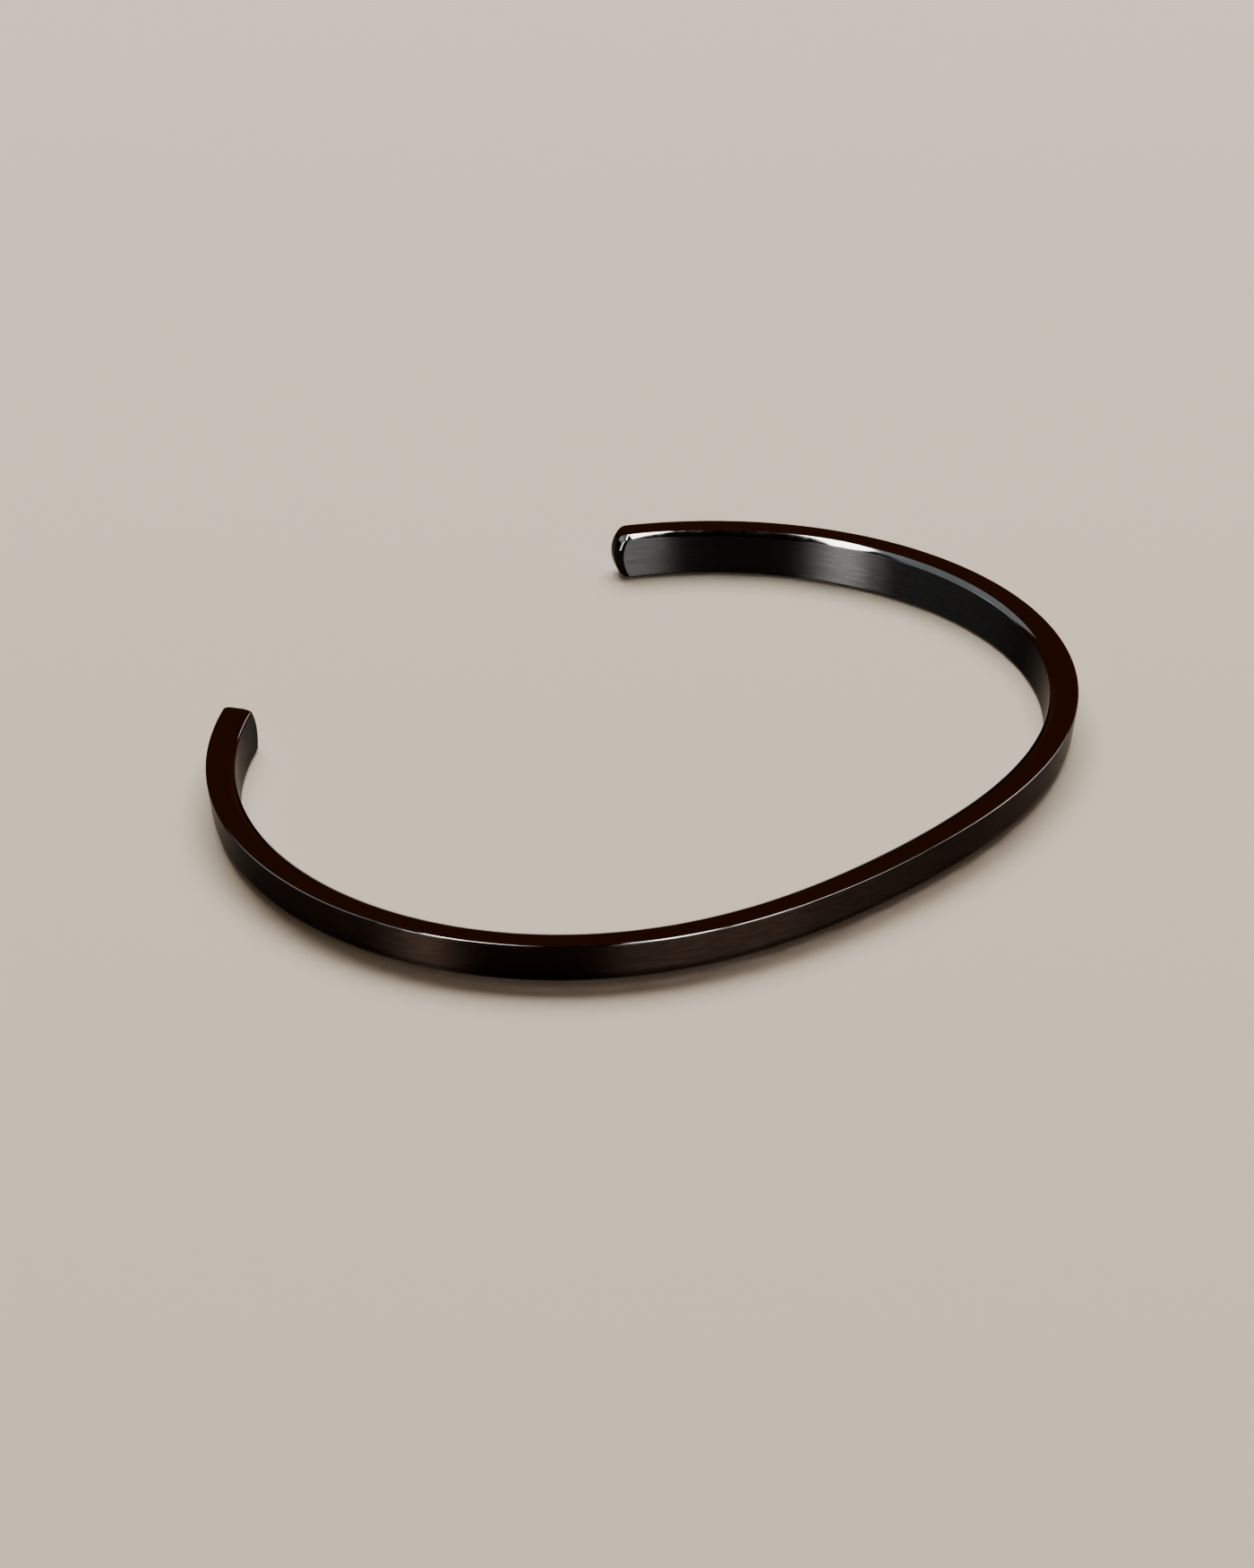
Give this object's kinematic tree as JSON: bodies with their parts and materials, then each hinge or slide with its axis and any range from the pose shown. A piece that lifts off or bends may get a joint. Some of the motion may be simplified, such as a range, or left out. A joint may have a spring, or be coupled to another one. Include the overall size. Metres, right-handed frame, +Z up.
{
  "type": "open cuff bangle",
  "caption": "Open oval cuff bangle of one slim polished black metal bar, with domed ends and a wide gap for the wrist.",
  "frame": {"origin": "centre of the bounding box seen from above, at the underside that the bangle rests on", "axes": "+X along the long way of the oval, +Y towards the gap between the two ends, +Z up through the ring, as it lies on its side"},
  "size_m": [0.065, 0.048, 0.0032],
  "materials": {
    "cuff_band": "stainless steel with a thin black plating, mirror-polished on the top, the underside, the edges and the ends, brushed lengthwise on the outer and the inner wall"
  },
  "bodies": {
    "root": {"cuff_band": "cuff_band"}
  },
  "joints": []
}
